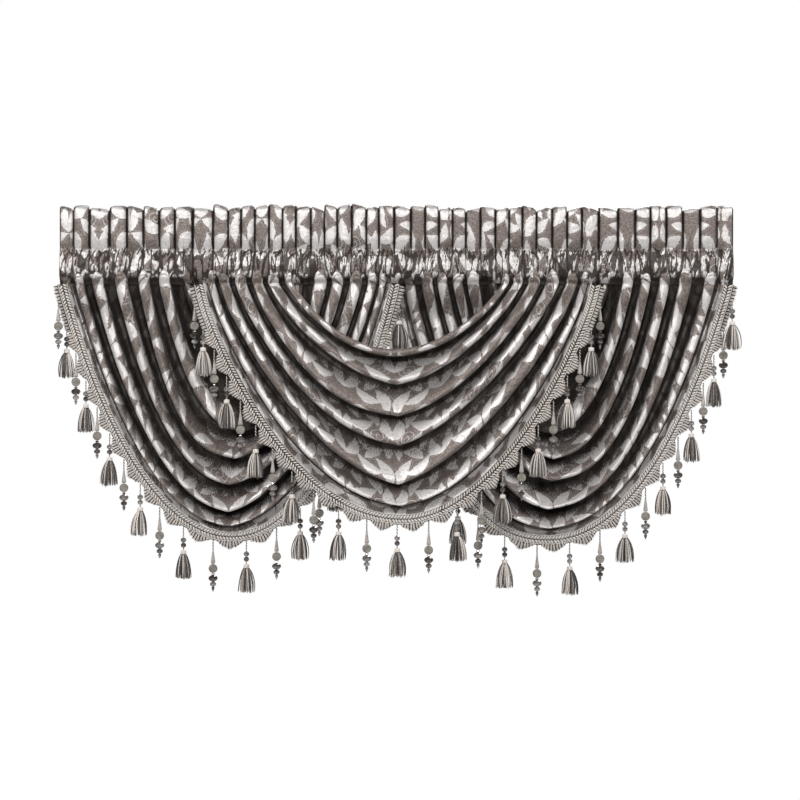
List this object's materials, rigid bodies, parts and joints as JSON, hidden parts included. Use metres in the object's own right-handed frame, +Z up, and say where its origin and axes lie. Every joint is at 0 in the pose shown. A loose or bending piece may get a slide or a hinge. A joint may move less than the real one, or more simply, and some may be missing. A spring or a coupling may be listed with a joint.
{
  "type": "waterfall valance",
  "caption": "Gathered swag valances on one rod pocket line, with cascading folds, braid and a beaded tassel fringe.",
  "frame": {"origin": "middle of the top edge of the standing ruffle, at the depth of the rod", "axes": "+X to the viewer's right along the rod, +Z up, the front faces -Y"},
  "size_m": [1.5585, 0.1201, 0.8897],
  "materials": {
    "jacquard": "satin jacquard, silver grey leaf scrolls on a taupe ground",
    "trim": "chain stitched braid, loop scallops and tassels in speckled grey and dark brown"
  },
  "bodies": {
    "root": {"heading_left_outer": "jacquard", "heading_centre_left": "jacquard", "heading_left_inner": "jacquard", "heading_right_inner": "jacquard", "heading_centre_right": "jacquard", "heading_right_outer": "jacquard", "panel_left": "jacquard", "panel_centre": "jacquard", "panel_right": "jacquard", "trim_left": "trim", "trim_centre": "trim", "trim_right": "trim"}
  },
  "joints": []
}
